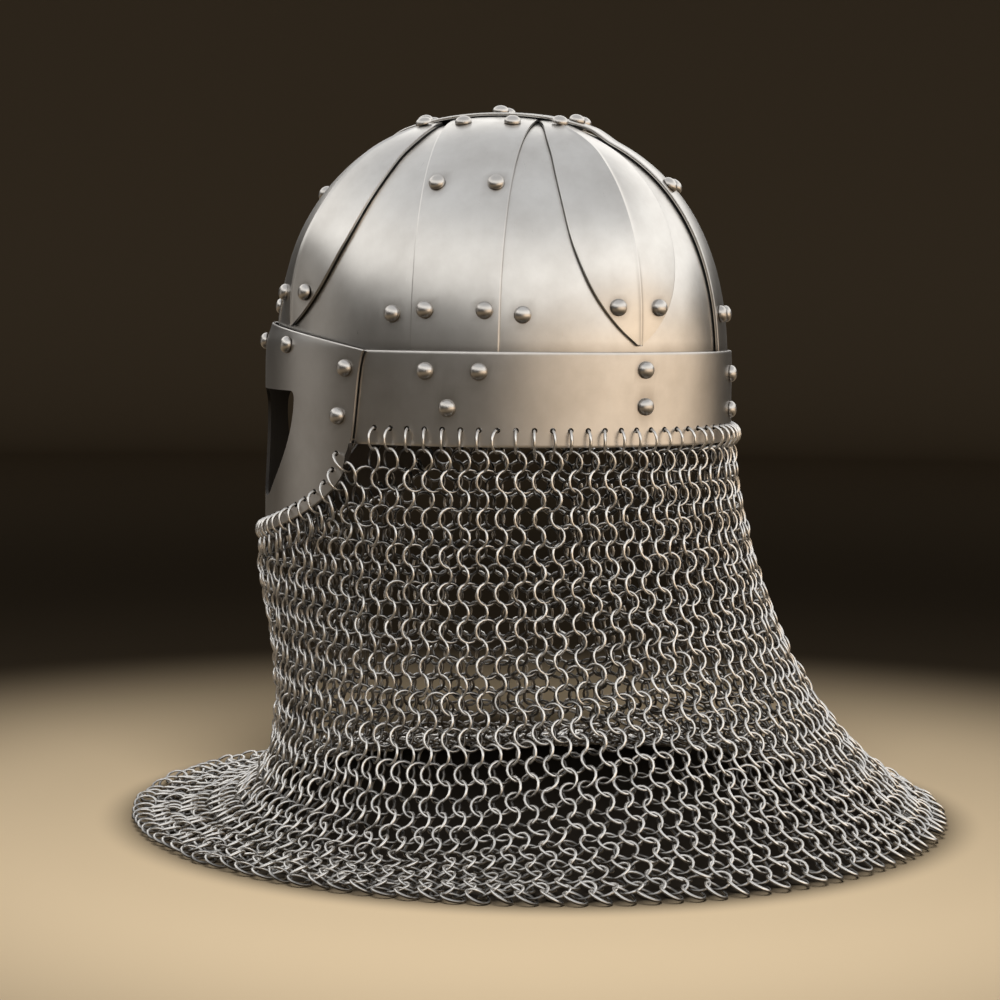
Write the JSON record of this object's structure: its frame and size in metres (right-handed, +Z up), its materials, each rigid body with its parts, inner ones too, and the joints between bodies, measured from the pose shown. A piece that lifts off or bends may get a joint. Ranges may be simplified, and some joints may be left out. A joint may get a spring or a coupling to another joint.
{
  "type": "viking helmet",
  "caption": "Riveted steel viking helmet with a domed skull of plates, straps and keeled petals, a brow band, an eye guard and a hanging mail curtain.",
  "frame": {"origin": "middle of the head opening, level with the lower rim of the brow band", "axes": "+Z up through the crown, -Y out through the face, +X to the wearer's left"},
  "size_m": [0.417, 0.4182, 0.3618],
  "materials": {
    "plate_steel": "satin, softly polished",
    "band_steel": "satin, a little darker",
    "mail_wire": "worn round wire"
  },
  "bodies": {
    "root": {"skull_plate_front_left": "plate_steel", "skull_plate_front_right": "plate_steel", "skull_plate_back_left": "plate_steel", "skull_plate_back_right": "plate_steel", "side_band_left": "plate_steel", "side_band_right": "plate_steel", "petal_front_left": "plate_steel", "petal_front_right": "plate_steel", "petal_back_left": "plate_steel", "petal_back_right": "plate_steel", "crest_band": "plate_steel", "brow_band": "band_steel", "visor": "band_steel", "aventail": "mail_wire"}
  },
  "joints": []
}
